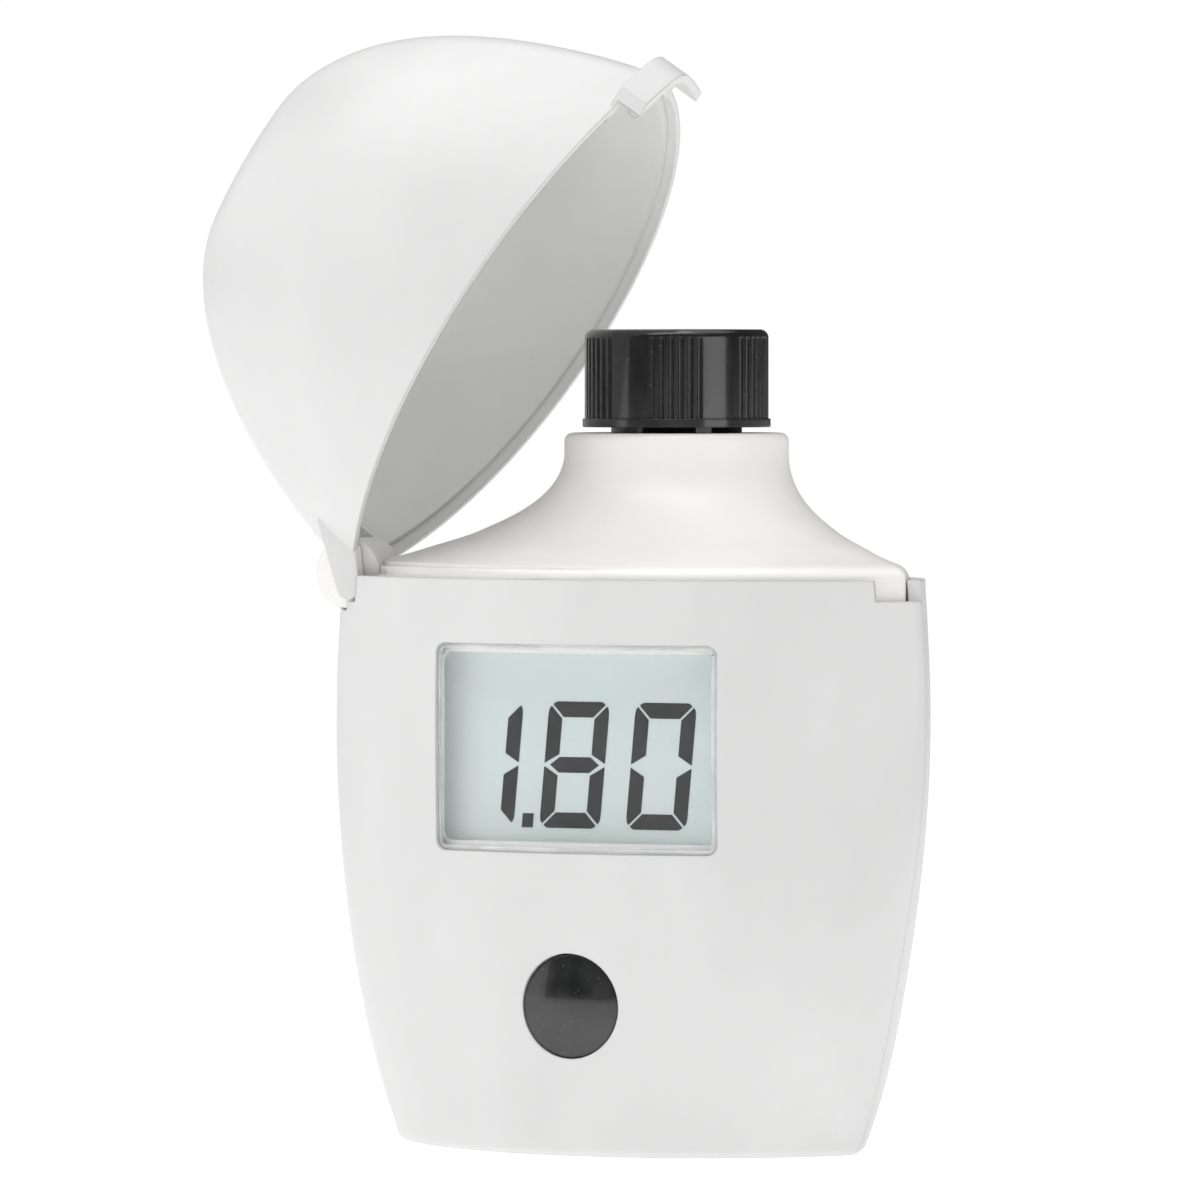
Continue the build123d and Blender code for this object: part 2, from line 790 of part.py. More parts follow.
def make_holder():
    z = light_path_height
    holder = rod(well_outer, 0, well_y, well_bottom, well_top - well_bottom, "z")
    lamp_tube = lamp_radius + optic_gap + optic_tube_wall
    lamp_flange_front = lamp_end - lamp_flange_thickness
    holder += rod(lamp_tube, -lamp_flange_front, well_y, z, lamp_flange_front, "x")
    holder += rod(filter_radius + optic_gap + optic_tube_wall, 0, well_y, z, detector_end, "x")
    for side in (-1, 1):
        low = (side * foot_x - foot_width / 2, -board_back, foot_height - foot_tall / 2)
        holder += block(low, (side * foot_x + foot_width / 2, well_y, foot_height + foot_tall / 2))
        holder -= rod(screw_radius + screw_clearance, side * foot_x, -far, foot_height, far + screw_hole_reach, "y")
    holder -= rod(well_bore, 0, well_y, well_bottom + well_floor, far, "z")
    holder -= rod(lamp_port_radius, -far, well_y, z, far, "x")
    holder -= rod(lamp_radius + optic_gap, -far, well_y, z, far - lamp_start + optic_gap, "x")
    holder -= rod(detector_port_radius, 0, well_y, z, far, "x")
    return holder - rod(filter_radius + optic_gap, filter_start - optic_gap, well_y, z, far, "x")


def make_leads(back, bend, side):
    """Two wires from an optical part's back face to the circuit board."""
    leads = []
    for offset in (-lead_spacing / 2, lead_spacing / 2):
        z = light_path_height + offset
        start = min(side * back, side * bend)
        leads.append(rod(lead_radius, start, well_y, z, abs(bend - back), "x"))
        leads.append(rod(lead_radius, side * bend, -board_back, z, well_y + board_back + lead_radius, "y"))
    return leads


def make_lamp():
    tip = -lamp_start - lamp_radius
    lamp = rod(lamp_radius, -lamp_end, well_y, light_path_height, lamp_end + tip, "x")
    lamp += Pos(tip, well_y, light_path_height) * Sphere(lamp_radius)
    lamp += rod(lamp_flange_radius, -lamp_end, well_y, light_path_height, lamp_flange_thickness, "x")
    for lead in make_leads(lamp_end, lamp_end + lead_bend, -1):
        lamp += lead
    return lamp


def make_filter():
    return rod(filter_radius, filter_start, well_y, light_path_height, filter_thickness, "x")


def make_photodetector():
    length = detector_length - optic_gap
    start = detector_start + optic_gap
    detector = rod(filter_radius, start, well_y, light_path_height, length, "x")
    for lead in make_leads(detector_end, detector_end + lead_bend, 1):
        detector += lead
    return detector


# Battery bay

def make_battery():
    body_length = battery_length - nub_length
    body = rod(battery_radius, battery_left, battery_y, battery_z, body_length, "x")
    body = fillet(body.edges().filter_by(GeomType.CIRCLE), battery_edge)
    return body + rod(nub_radius, battery_left, battery_y, battery_z, battery_length, "x")


def make_contact(face_x, side):
    """A flat contact outside one end of the battery, with a strap to the circuit board."""
    def strip(x_from, x_to, y_from, y_to, low, high):
        x_low = min(side * x_from, side * x_to)
        x_high = max(side * x_from, side * x_to)
        return block((x_low, y_from, low), (x_high, y_to, high))

    back = face_x + contact_thickness
    strap_low = contact_top - strap_height
    bend = contact_front + contact_thickness
    plate = strip(face_x, back, contact_front, contact_back, contact_bottom, contact_top)
    bridge = strip(strap_x, back, contact_front, bend, strap_low, contact_top)
    leg = strip(strap_x, strap_x + contact_thickness, -board_back, bend, strap_low, contact_top)
    return plate + bridge + leg


def make_battery_spring():
    face = -battery_left + leaf_reach
    plate = make_contact(face, -1)
    middle = (leaf_bottom + leaf_top) / 2
    crest = face - leaf_reach + contact_gap
    plane = Plane(origin=(0, contact_back, 0), x_dir=(1, 0, 0), z_dir=(0, -1, 0))
    outer = ThreePointArc((-face, leaf_bottom), (-crest, middle), (-face, leaf_top))
    rise = contact_thickness
    inner = ThreePointArc((-face, leaf_top - rise), (-crest - rise, middle), (-face, leaf_bottom + rise))
    ends = [Line((-face, leaf_top), (-face, leaf_top - rise)), Line((-face, leaf_bottom + rise), (-face, leaf_bottom))]
    leaf = extrude(plane * make_face(Wire([outer, ends[0], inner, ends[1]])), contact_back - contact_front)
    return plate + leaf


def make_battery_plate():
    return make_contact(battery_right + contact_gap, 1)


def make_battery_cover(walls):
    cover = walls & rear_half & cover_prism(cover_gap)
    room = slab(cover_half_width - cover_rib_inset, cover_bottom + cover_rib_inset,
                cover_top - cover_rib_inset, cover_corner_radius - cover_rib_inset, cover_rib_front, far)
    for side in (-1, 1):
        rib = bay_rib(side, cover_rib_x, cover_rib_front, far, cover_top)
        cover += rib & room & inside
    cover -= battery_room()
    surface = casing_sections[1][3]
    groove_y = surface + grip_radius - grip_depth
    return cover - rod(grip_radius, -grip_length / 2, groove_y, grip_height, grip_length, "x")


walls = make_walls()

pieces = {
    "front_shell": make_front_shell(walls),
    "rear_shell": make_rear_shell(walls),
    "top_insert": make_top_insert(),
    "hinge_pin": make_hinge_pin(),
    "lid": make_lid(),
    "display_window": make_window(),
    "display_frame": make_display_frame(),
    "display_glass": make_display_glass(),
    "display_strips": make_display_strips(),
    "circuit_board": make_board(),
    "processor": make_chip(),
    "board_parts": make_board_parts(),
    "board_screws": make_board_screws(),
    "key_switch": make_key_switch(),
    "switch_plunger": make_switch_plunger(),
    "push_button": make_push_button(),
    "cuvette_holder": make_holder(),
    "holder_screws": make_holder_screws(),
    "lamp": make_lamp(),
    "interference_filter": make_filter(),
    "photodetector": make_photodetector(),
    "cuvette": make_cuvette(),
    "cap_liner": make_liner(),
    "cuvette_cap": make_cap(),
    "battery": make_battery(),
    "battery_spring": make_battery_spring(),
    "battery_plate": make_battery_plate(),
    "battery_cover": make_battery_cover(walls),
    "case_screws": make_case_screws(),
}

os.makedirs("parts", exist_ok=True)
for name, shape in pieces.items():
    export_step(shape, f"parts/{name}.step")
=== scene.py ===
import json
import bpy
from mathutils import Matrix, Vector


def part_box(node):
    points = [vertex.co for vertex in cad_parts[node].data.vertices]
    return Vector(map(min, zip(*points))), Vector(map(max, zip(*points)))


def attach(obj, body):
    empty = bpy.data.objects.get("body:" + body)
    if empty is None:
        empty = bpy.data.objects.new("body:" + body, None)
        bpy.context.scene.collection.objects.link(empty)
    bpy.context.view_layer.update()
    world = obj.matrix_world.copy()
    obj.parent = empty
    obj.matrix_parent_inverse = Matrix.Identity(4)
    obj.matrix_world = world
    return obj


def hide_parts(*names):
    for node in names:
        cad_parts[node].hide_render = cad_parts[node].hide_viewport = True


bl_info = {
    "name": "Portable Colorimeter",
    "version": (1, 0, 0),
    "blender": (4, 5, 0),
    "location": "View3D > Sidebar > Colorimeter",
    "description": "Dresses a pocket colorimeter with a flip-up lid and sets it on a studio floor",
    "category": "Object",
}

from math import cos, radians, sin, tan

import bpy
from bpy.props import FloatProperty, FloatVectorProperty, PointerProperty, StringProperty
from mathutils import Matrix, Vector

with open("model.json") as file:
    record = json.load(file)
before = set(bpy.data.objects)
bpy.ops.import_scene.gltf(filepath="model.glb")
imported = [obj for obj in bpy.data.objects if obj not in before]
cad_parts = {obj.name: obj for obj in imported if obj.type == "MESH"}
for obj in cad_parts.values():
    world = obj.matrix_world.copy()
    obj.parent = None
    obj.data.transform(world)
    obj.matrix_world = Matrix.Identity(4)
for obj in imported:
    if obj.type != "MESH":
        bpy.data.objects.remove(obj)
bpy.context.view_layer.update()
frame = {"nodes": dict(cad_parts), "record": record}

MM = 0.001
GLASS_FRONT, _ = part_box("display_glass")

# The photograph's width and scale, and the column and row of the point OBJECT_HEIGHT above the origin
PHOTO_SIZE = 1200
PIXELS_PER_MM = 10.64
OBJECT_COLUMN = 628.8
OBJECT_ROW = 690
OBJECT_HEIGHT = 0.043
SENSOR_WIDTH = 36.0

# Heights between which the cuvette's neck is painted dark: painted shade under the cap, seen through the
# glass
NECK_SHADE_START, NECK_SHADE_FULL = 0.0640, 0.0668

# Depths that the leads of the lamp and the detector lie in front of
LAMP_LEADS = 0.0075
DETECTOR_LEADS = 0.0065

# The display's painted shade at its left end and along its lower edge, and the middle and half size of its
# decimal point
SHADE_DARK, SHADE_CLEAR = -0.0148, -0.0105
LOW_EDGE_SHADE_FULL, LOW_EDGE_SHADE_NONE = 0.0285, 0.0300
POINT_MIDDLE = (-0.00603, 0.03102)
POINT_HALF = (0.00057, 0.00066)

# How far in front of the glass the digits' bars lie, and how thick they are
BAR_LIFT = 0.00004
BAR_THICKNESS = 0.000008

# Points closer than this are merged in a copied mesh
MERGE_DISTANCE = 0.000002

# A face of the pane whose normal has less than this along Y belongs to its bevelled edge
PANE_FACE = 0.93


# Shader arithmetic

class Value:
    """A shader socket that takes part in Python arithmetic."""

    def __init__(self, finish, socket):
        self.finish = finish
        self.socket = socket

    def maths(self, operation, other=None, flipped=False):
        pair = (self,) if other is None else (other, self) if flipped else (self, other)
        return self.finish.node("ShaderNodeMath", {"operation": operation}, dict(enumerate(pair)))

    def __add__(self, other):
        return self.maths("ADD", other)

    def __sub__(self, other):
        return self.maths("SUBTRACT", other)

    def __rsub__(self, other):
        return self.maths("SUBTRACT", other, True)

    def __mul__(self, other):
        return self.maths("MULTIPLY", other)

    def __pow__(self, other):
        return self.maths("POWER", other)

    def __gt__(self, other):
        return self.maths("GREATER_THAN", other)

    def __lt__(self, other):
        return self.maths("LESS_THAN", other)

    def __abs__(self):
        return self.maths("ABSOLUTE")


class Finish:
    """A material that is built node by node round one Principled shader."""

    def __init__(self, name, **sockets):
        self.material = bpy.data.materials.new(name)
        self.material.use_nodes = True
        self.tree = self.material.node_tree
        self.shader = self.tree.nodes["Principled BSDF"]
        self.set(**sockets)

    def feed(self, socket, value):
        if isinstance(value, Value):
            self.tree.links.new(value.socket, socket)
        elif isinstance(value, (tuple, list)) and len(value) == 3 and len(socket.default_value) == 4:
            socket.default_value = (*value, 1.0)
        else:
            socket.default_value = value

    def node(self, kind, settings=None, sockets=None, output=0):
        made = self.tree.nodes.new(kind)
        for key, value in (settings or {}).items():
            if key == "stops":
                self.fill_ramp(made.color_ramp, value)
            else:
                setattr(made, key, value)
        for key, value in (sockets or {}).items():
            self.feed(made.inputs[key], value)
        return Value(self, made.outputs[output])

    def fill_ramp(self, ramp, stops):
        while len(ramp.elements) < len(stops):
            ramp.elements.new(1.0)
        for element, (place, colour) in zip(ramp.elements, stops):
            element.position = place
            element.color = (*colour, 1.0)

    def set(self, **sockets):
        for key, value in sockets.items():
            self.feed(self.shader.inputs[key.replace("_", " ")], value)
        return self

    def place(self):
        return self.node("ShaderNodeTexCoord", output="Object")

    def axes(self):
        parts = self.node("ShaderNodeSeparateXYZ", sockets={0: self.place()}).socket.node.outputs
        return [Value(self, part) for part in parts]

    def noise(self, size, detail=2.0, rough=0.5, stretch=(1, 1, 1)):
        """Noise from 0 to 1 with features of about that size in metres."""
        moved = self.node("ShaderNodeMapping", sockets={"Vector": self.place(), "Scale": stretch})
        sockets = {"Vector": moved, "Scale": 1 / size, "Detail": detail, "Roughness": rough}
        return self.node("ShaderNodeTexNoise", sockets=sockets)

    def cells(self, size, feature="F1"):
        sockets = {"Vector": self.place(), "Scale": 1 / size}
        return self.node("ShaderNodeTexVoronoi", {"feature": feature}, sockets)

    def span(self, value, low, high, start=0.0, end=1.0):
        """The value's range low to high, spread over start to end and held beyond it."""
        sockets = {0: value, 1: low, 2: high, 3: start, 4: end}
        return self.node("ShaderNodeMapRange", sockets=sockets)

    def mix(self, share, first, second):
        """One colour turning into another."""
        node = self.node("ShaderNodeMix", {"data_type": "RGBA"}, {"Factor": share}, "Result")
        made = node.socket.node
        self.feed(made.inputs[6], first)
        self.feed(made.inputs[7], second)
        return Value(self, made.outputs[2])

    def relief(self, height, depth, edge=0.0, strength=1.0):
        """Bumps the surface by a height from 0 to 1, over edges softened by a radius."""
        sockets = {"Height": height, "Distance": depth, "Strength": strength}
        if edge:
            sockets["Normal"] = self.soft_edge(edge)
        return self.set(Normal=self.node("ShaderNodeBump", sockets=sockets))

    def soft_edge(self, radius):
        return self.node("ShaderNodeBevel", {"samples": 6}, {"Radius": radius})


class Surround(Finish):
    """A world that is built node by node round one Background shader."""

    def __init__(self, name):
        self.world = bpy.data.worlds.new(name)
        self.world.use_nodes = True
        self.tree = self.world.node_tree
        self.shader = self.tree.nodes["Background"]

    def outputs(self, kind, sockets=None):
        made = self.node(kind, sockets=sockets).socket.node
        return {output.name: Value(self, output) for output in made.outputs}


def plastic(name, colour, rough, grain, depth, edge):
    """Moulded plastic: a spark-eroded grain, faint flow marks and worn edges."""
    finish = Finish(name, IOR=1.5)
    flow = finish.noise(0.014, 3.0, 0.55, (1, 1, 0.6))
    fine = finish.noise(grain, 3.0, 0.6)
    dark = tuple(part * 0.955 for part in colour)
    light = tuple(min(part * 1.02, 0.93) for part in colour)
    finish.set(Base_Color=finish.mix(finish.span(flow, 0.3, 0.7), dark, light))
    finish.set(Roughness=finish.span(flow * 0.6 + fine * 0.4, 0.3, 0.7, rough - 0.05, rough + 0.07))
    pits = finish.cells(grain * 1.6)
    finish.relief(fine * 0.7 + pits * 0.3, depth, edge)
    return finish.material


def gloss_black(name, colour, rough, edge, streak=(1, 1, 1)):
    """Polished black moulding with faint haze, fine dust and handling marks."""
    finish = Finish(name, IOR=1.52, Coat_Weight=0.35)
    haze = finish.noise(0.0035, 4.0, 0.6, streak)
    dust = finish.cells(0.0011) < 0.07
    pale = tuple(part + 0.02 for part in colour)
    tint = finish.mix(finish.span(haze, 0.35, 0.75), colour, pale)
    finish.set(Base_Color=finish.mix(dust * 0.25, tint, (0.3, 0.3, 0.3)))
    finish.set(Roughness=finish.span(haze, 0.3, 0.75, rough, rough + 0.1) + dust * 0.15)
    finish.relief(finish.noise(0.0018, 2.0), 0.000012, edge)
    return finish.material


def metal(name, colour, rough, stretch, edge=0.00005):
    """Worked metal with drawn lines along one way."""
    finish = Finish(name, Metallic=1.0)
    lines = finish.noise(0.0006, 4.0, 0.65, stretch)
    blotch = finish.noise(0.003, 3.0)
    dark = tuple(part * 0.72 for part in colour)
    finish.set(Base_Color=finish.mix(finish.span(blotch, 0.35, 0.7), dark, colour))
    finish.set(Roughness=finish.span(lines, 0.3, 0.7, rough - 0.08, rough + 0.12))
    finish.relief(lines, 0.00001, edge)
    return finish.material


# Helpers for pieces

def pick(*objects):
    """Leaves only these objects selected, the last one active."""
    if bpy.context.mode != "OBJECT":
        bpy.ops.object.mode_set(mode="OBJECT")
    bpy.ops.object.select_all(action="DESELECT")
    for obj in objects:
        obj.select_set(True)
        bpy.context.view_layer.objects.active = obj


def dress(piece, material):
    piece.data.materials.clear()
    piece.data.materials.append(material)


def dress_node(node, material):
    dress(frame["nodes"][node], material)


def body_of(node):
    for body, members in frame["record"]["behaviour"]["bodies"].items():
        if node in members:
            return body
    raise RuntimeError("no body holds " + node)


def fair_copy(node, name, material, crease=32.0):
    """A merged copy of a CAD node, shaded smoothly up to its creases, that stands for it."""
    source = frame["nodes"][node]
    copy = bpy.data.objects.new(name, source.data.copy())
    bpy.context.scene.collection.objects.link(copy)
    pick(copy)
    bpy.ops.mesh.customdata_custom_splitnormals_clear()
    bpy.ops.object.mode_set(mode="EDIT")
    bpy.ops.mesh.select_all(action="SELECT")
    bpy.ops.mesh.remove_doubles(threshold=MERGE_DISTANCE)
    bpy.ops.mesh.dissolve_degenerate(threshold=MERGE_DISTANCE)
    bpy.ops.object.mode_set(mode="OBJECT")
    bpy.ops.object.shade_smooth_by_angle(angle=radians(crease))
    dress(copy, material)
    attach(copy, body_of(node))
    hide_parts(node)
    return copy


def modify(piece, kind, **settings):
    pick(piece)
    modifier = piece.modifiers.new(kind.title(), kind)
    for key, value in settings.items():
        setattr(modifier, key, value)
    bpy.ops.object.modifier_apply(modifier=modifier.name)


def settle(piece, body, material):
    """Bakes the piece's place into its mesh and puts it on its body."""
    pick(piece)
    bpy.ops.object.transform_apply(location=True, rotation=True, scale=True)
    dress(piece, material)
    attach(piece, body)
    return piece


# Settings

class CasingLook(bpy.types.PropertyGroup):
    plastic: FloatVectorProperty(name="Plastic", description="Colour of the casing and the lid",
                                 subtype="COLOR", default=(0.665, 0.665, 0.662))
    # Painted light: the lid's inner face is the casing's plastic in a lighter colour, standing for light
    # falling into the open lid
    inner: FloatVectorProperty(name="Inner face", description="Colour of the lid's inner face",
                               subtype="COLOR", default=(0.88, 0.88, 0.875))
    insert: FloatVectorProperty(name="Insert", description="Colour of the shoulder and collar",
                                subtype="COLOR", default=(0.88, 0.87, 0.855))
    grain: FloatProperty(name="Grain", description="Size of the moulded grain",
                         unit="LENGTH", default=0.00022)
    edge: FloatProperty(name="Edge", description="Radius that softens the edges",
                        unit="LENGTH", default=0.00028)


class DisplayLook(bpy.types.PropertyGroup):
    figures: StringProperty(name="Figures", description="Digits that the display shows", default="180")
    height: FloatProperty(name="Height", description="Height of a digit", unit="LENGTH", default=0.01182)
    width: FloatProperty(name="Width", description="Width of a digit", unit="LENGTH", default=0.00625)
    bar: FloatProperty(name="Bar", description="Width of one bar", unit="LENGTH", default=0.00146)
    gap: FloatProperty(name="Gap", description="Gap between two bars", unit="LENGTH", default=0.00021)
    lean: FloatProperty(name="Lean", description="Slant of the digits", subtype="ANGLE", default=radians(5.3))
    pitch: FloatProperty(name="Pitch", description="Distance between digits", unit="LENGTH", default=0.00892)
    first: FloatVectorProperty(name="First digit", description="Centre of the first digit, across and up",
                               size=2, unit="LENGTH", default=(-0.01010, 0.03627))
    ink: FloatVectorProperty(name="Ink", description="Colour of the lit bars", subtype="COLOR",
                             default=(0.010, 0.011, 0.011))
    ground: FloatVectorProperty(name="Ground", description="Colour of the display's ground", subtype="COLOR",
                                default=(0.60, 0.68, 0.665))


class StageLook(bpy.types.PropertyGroup):
    floor: FloatVectorProperty(name="Floor", description="Colour of the floor", subtype="COLOR",
                               default=(0.75, 0.75, 0.75))
    glow: FloatProperty(name="Glow", description="Light that the floor gives off by itself", default=0.64)
    world: FloatProperty(name="Surround", description="Strength of the surround's light", default=0.5)
    shine: FloatProperty(name="Shine", description="Strength of the surround in reflections", default=0.05)
    boxes: FloatProperty(name="Soft boxes", description="Strength of the bright areas in reflections",
                         default=1.1)
    key: FloatProperty(name="Key", description="Power of the large light overhead", unit="POWER", default=2.0)
    side: FloatProperty(name="Side", description="Power of the light on the left", unit="POWER", default=0.42)
    fill: FloatProperty(name="Fill", description="Power of the light on the right",
                        unit="POWER", default=0.35)
    azimuth: FloatProperty(name="Azimuth", description="Camera's turn about the object", subtype="ANGLE",
                           default=radians(25.5))
    rise: FloatProperty(name="Rise", description="Camera's height angle",
                        subtype="ANGLE", default=radians(1.4))
    distance: FloatProperty(name="Distance", description="Camera's distance", unit="LENGTH", default=0.95)


def look(name):
    return getattr(bpy.context.scene, name)


def casing_plastic():
    """The plastic of the casing and the lid, made once and shared."""
    name = "casing plastic"
    made = bpy.data.materials.get(name)
    if made:
        return made
    casing = look("casing_look")
    return plastic(name, tuple(casing.plastic), rough=0.42, grain=casing.grain,
                   depth=0.000011, edge=casing.edge)


# Operators

class COLORIMETER_OT_casing(bpy.types.Operator):
    """Front and rear shells and the battery cover"""
    bl_idname = "colorimeter.casing"
    bl_label = "Casing"

    def execute(self, context):
        for node in ("front_shell", "rear_shell", "battery_cover"):
            fair_copy(node, node + "_moulding", casing_plastic())
        return {"FINISHED"}


class COLORIMETER_OT_insert(bpy.types.Operator):
    """Top insert with its shoulder, collar and hinge barrel"""
    bl_idname = "colorimeter.insert"
    bl_label = "Top insert"

    def execute(self, context):
        casing = look("casing_look")
        finish = plastic("insert plastic", tuple(casing.insert), rough=0.36, grain=casing.grain,
                         depth=0.000006, edge=casing.edge)
        fair_copy("top_insert", "shoulder_and_collar", finish)
        return {"FINISHED"}


class COLORIMETER_OT_lid(bpy.types.Operator):
    """Domed lid with its latch lip and hinge ears, and the hinge pin"""
    bl_idname = "colorimeter.lid"
    bl_label = "Lid"

    def execute(self, context):
        lid = fair_copy("lid", "lid_dome", casing_plastic())
        casing = look("casing_look")
        # Painted light: a lighter copy of the casing plastic for the lid's inner face, in place of light
        # falling into it
        inner = plastic("lid inner face", tuple(casing.inner), rough=0.42, grain=casing.grain,
                        depth=0.000008, edge=casing.edge)
        lid.data.materials.append(inner)
        low, high = frame["record"]["physics"]["openings"][0]["box_m"]
        middle = (Vector(low) + Vector(high)) / 2
        for face in lid.data.polygons:
            if face.normal.dot(middle - face.center) > 0:
                face.material_index = 1
        dress_node("hinge_pin", metal("pin steel", (0.62, 0.62, 0.63), rough=0.3, stretch=(1, 0.1, 1)))
        return {"FINISHED"}


class COLORIMETER_OT_window(bpy.types.Operator):
    """Clear pane in the display opening, its bevelled edges coloured with painted highlights"""
    bl_idname = "colorimeter.window"
    bl_label = "Window"

    def execute(self, context):
        clear = Finish("clear pane", Base_Color=(0.85, 0.90, 0.89), IOR=1.49, Roughness=0.04)
        smears = clear.noise(0.006, 3.0, 0.55)
        clear.set(Alpha=clear.span(smears, 0.3, 0.8, 0.012, 0.028))
        pane = fair_copy("display_window", "display_pane", clear.material)
        modify(pane, "BEVEL", width=0.00042, segments=2, limit_method="ANGLE", angle_limit=radians(60))
        # Painted highlights: the bevelled edge is coloured whitish and part opaque, in bright and dark
        # streaks, standing for the light it catches and reflects
        edge = Finish("pane edge", IOR=1.49, Roughness=0.12)
        bands = edge.noise(0.006, 1.0, 0.5)
        edge.set(Alpha=edge.span(bands, 0.3, 0.7, 0.35, 0.55))
        edge.set(Base_Color=edge.mix(edge.span(bands, 0.35, 0.65), (0.62, 0.64, 0.64), (0.90, 0.91, 0.91)))
        pane.data.materials.append(edge.material)
        for face in pane.data.polygons:
            if abs(face.normal.y) < PANE_FACE:
                face.material_index = 1
        return {"FINISHED"}


def upside_down(outline):
    return [(x, -z) for x, z in reversed(outline)]


def bar_outlines(width, height, bar, gap):
    """The seven bars of a digit about its centre, each a list of across and up pairs."""
    w, h, t = width / 2, height / 2, bar
    g = gap / 2 * 1.414
    # Shares of a bar's width: its blunted corner, the start of its end, and its tip at the middle bar
    corner, end, tip = 0.18, 0.45, 0.3
    top = [(-w + t * end + g, h), (w - t * end - g, h), (w - t * corner - g, h - t * corner),
           (w - t - g, h - t), (-w + t + g, h - t), (-w + t * corner + g, h - t * corner)]
    right = [(w - t * corner, h - t * corner - g), (w - t * 0.05, h - t * end), (w, h - t * 0.8),
             (w, g * 1.4), (w - t * 0.02, g), (w - t, t * 0.58 + g), (w - t, h - t - g)]
    middle = [(-w + t * tip + g, 0), (-w + t + g * 0.6, t / 2), (w - t - g * 0.6, t / 2),
              (w - t * tip - g, 0), (w - t - g * 0.6, -t / 2), (-w + t + g * 0.6, -t / 2)]
    left = [(-x, z) for x, z in reversed(right)]
    return {
        "top": top, "upper_right": right, "middle": middle, "upper_left": left,
        "bottom": upside_down(top), "lower_right": upside_down(right), "lower_left": upside_down(left),
    }


DIGIT_BARS = {
    "0": "top upper_right lower_right bottom lower_left upper_left",
    "1": "upper_right lower_right",
    "8": "top upper_right lower_right bottom lower_left upper_left middle",
}


class COLORIMETER_OT_display(bpy.types.Operator):
    """Display glass, its frame and the dark bars of its digits"""
    bl_idname = "colorimeter.display"
    bl_label = "Display"

    def execute(self, context):
        display = look("display_look")
        ground = Finish("display ground", IOR=1.5, Roughness=0.3)
        x, y, z = ground.axes()
        # Painted shade: the ground darkens towards its left end, where the opening's side wall shades the
        # recessed display, and along its lower edge
        shade = ground.span(x, SHADE_DARK, SHADE_CLEAR, 1.0, 0.0) ** 1.6
        grain = ground.noise(0.0004, 2.0)
        tone = tuple(display.ground)
        soft = ground.mix(ground.span(grain, 0.3, 0.7), tuple(part * 0.97 for part in tone), tone)
        lower = ground.span(z, LOW_EDGE_SHADE_FULL, LOW_EDGE_SHADE_NONE, 1.0, 0.0) * 0.35
        ground.set(Base_Color=ground.mix(shade * 0.62 + lower * 0.5, soft, (0.42, 0.43, 0.43)))
        dress_node("display_glass", ground.material)
        white = plastic("frame plastic", (0.84, 0.84, 0.83), rough=0.5, grain=0.0002,
                        depth=0.000006, edge=0.0001)
        dress_node("display_frame", white)
        rubber = Finish("contact rubber", Roughness=0.7)
        layers = rubber.node("ShaderNodeTexWave", {"bands_direction": "X"}, {0: rubber.place(), 1: 3000.0})
        rubber.set(Base_Color=rubber.mix(layers, (0.02, 0.02, 0.022), (0.25, 0.25, 0.27)))
        dress_node("display_strips", rubber.material)
        ink = Finish("display ink", Base_Color=tuple(display.ink), Roughness=0.34, IOR=1.5)
        speck = ink.noise(0.0006, 2.0)
        dark = tuple(part * 0.86 for part in display.ink)
        ink.set(Base_Color=ink.mix(ink.span(speck, 0.3, 0.7), dark, tuple(display.ink)))
        self.lay_bars("display_figures", BAR_LIFT, ink.material)
        return {"FINISHED"}

    def lay_bars(self, name, lift, material):
        """Lays the digits' bars just in front of the display glass."""
        display = look("display_look")
        slant = tan(display.lean)
        front = GLASS_FRONT.y - lift
        bars = bar_outlines(display.width, display.height, display.bar, display.gap)
        outlines = []
        for number, digit in enumerate(display.figures):
            centre = (display.first[0] + number * display.pitch, display.first[1])
            for bar in DIGIT_BARS[digit].split():
                outlines.append([(centre[0] + x + z * slant, centre[1] + z) for x, z in bars[bar]])
        dot_x, dot_z = POINT_MIDDLE
        dot_w, dot_h = POINT_HALF
        corners = ((-1, -1), (1, -1), (1, 1), (-1, 1))
        point = [(dot_x + a * dot_w + b * dot_h * slant, dot_z + b * dot_h) for a, b in corners]
        outlines.append(point[::-1])
        made = []
        for outline in outlines:
            bpy.ops.mesh.primitive_circle_add(vertices=len(outline), fill_type="NGON")
            bar = bpy.context.object
            for vertex, (x, z) in zip(bar.data.vertices, outline):
                vertex.co = (x, front, z)
            bpy.ops.object.mode_set(mode="EDIT")
            bpy.ops.mesh.select_all(action="SELECT")
            bpy.ops.mesh.extrude_region_move(TRANSFORM_OT_translate={"value": (0, BAR_THICKNESS, 0)})
            bpy.ops.mesh.select_all(action="SELECT")
            bpy.ops.mesh.normals_make_consistent(inside=False)
            bpy.ops.object.mode_set(mode="OBJECT")
            made.append(bar)
        pick(*made)
        bpy.ops.object.join()
        piece = bpy.context.object
        piece.name = name
        settle(piece, body_of("display_glass"), material)


class COLORIMETER_OT_button(bpy.types.Operator):
    """Push button and the key switch behind it"""
    bl_idname = "colorimeter.button"
    bl_label = "Button"

    def execute(self, context):
        black = gloss_black("button gloss", (0.012, 0.0125, 0.0125), rough=0.13, edge=0.0003)
        fair_copy("push_button", "button_cap", black)
        sizes = {"grain": 0.0002, "depth": 0.00001, "edge": 0.0001}
        dress_node("key_switch", plastic("switch plastic", (0.03, 0.03, 0.032), rough=0.5, **sizes))
        dress_node("switch_plunger", plastic("plunger plastic", (0.10, 0.02, 0.02), rough=0.45, **sizes))
        return {"FINISHED"}


